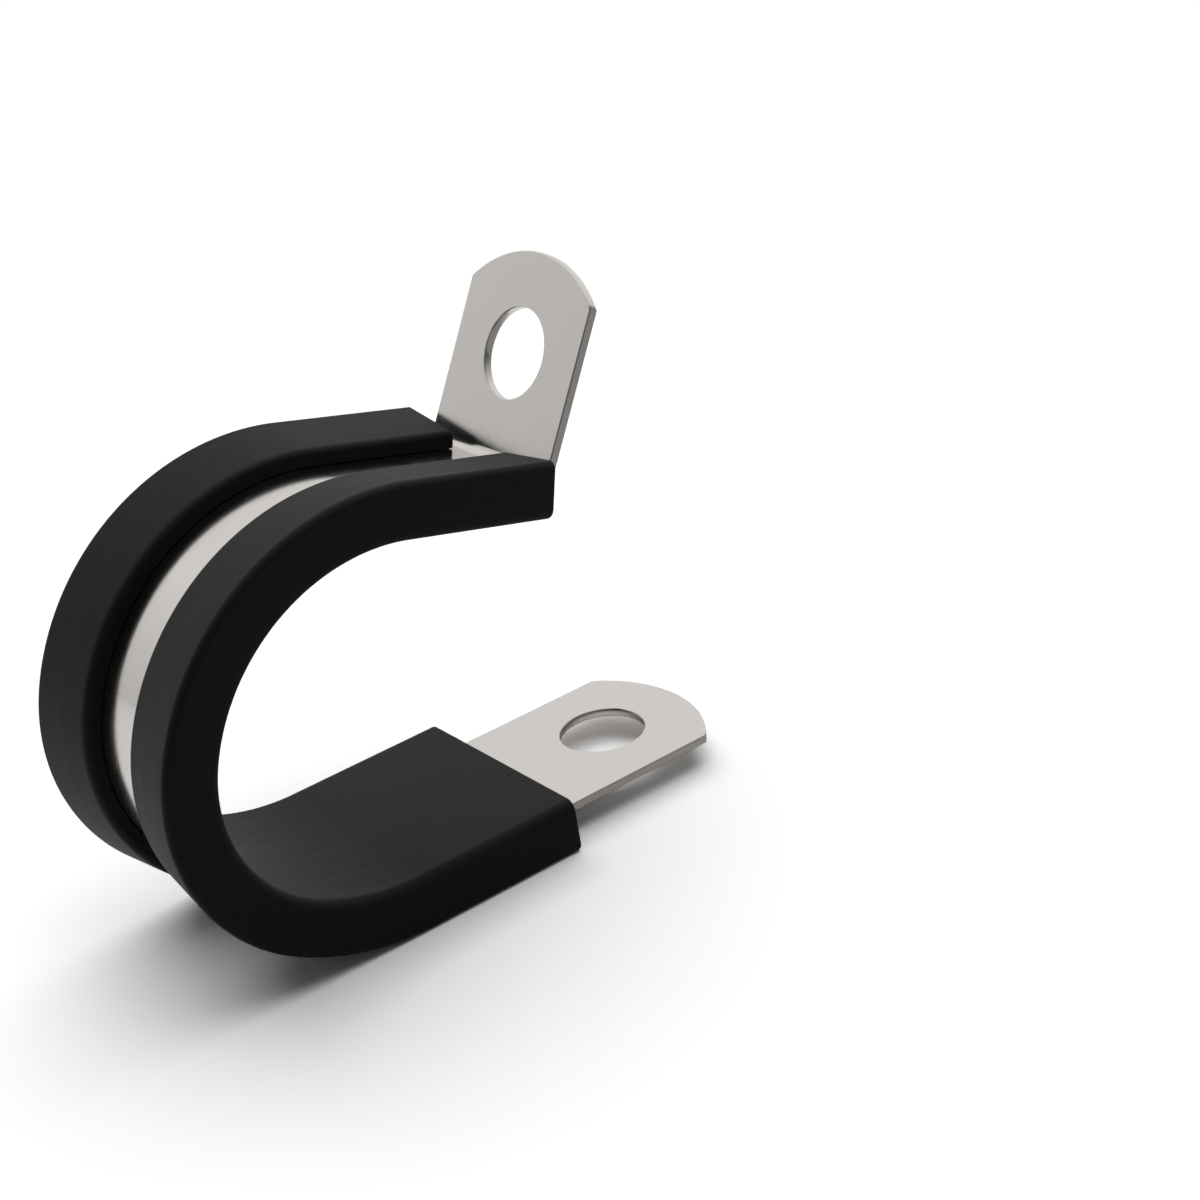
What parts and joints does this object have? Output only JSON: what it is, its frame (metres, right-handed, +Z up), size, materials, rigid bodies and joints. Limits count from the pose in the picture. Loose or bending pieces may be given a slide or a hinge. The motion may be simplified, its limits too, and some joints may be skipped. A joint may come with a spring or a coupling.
{
  "type": "p clip",
  "caption": "Open P clip for a cable: a bent stainless band with a drilled tab at each end, its loop sheathed in a grooved black rubber channel.",
  "frame": {"origin": "axis of the lower fixing hole, at the underside of the band", "axes": "+X out along the lower tab, away from the loop; +Y along the cable; +Z up, out of the lower fixing hole"},
  "size_m": [0.0402, 0.0156, 0.0346],
  "materials": {
    "steel": "satin, fine lengthwise brush lines",
    "rubber": "satin, as extruded"
  },
  "bodies": {
    "root": {"strap": "steel", "lining": "rubber"}
  },
  "joints": []
}
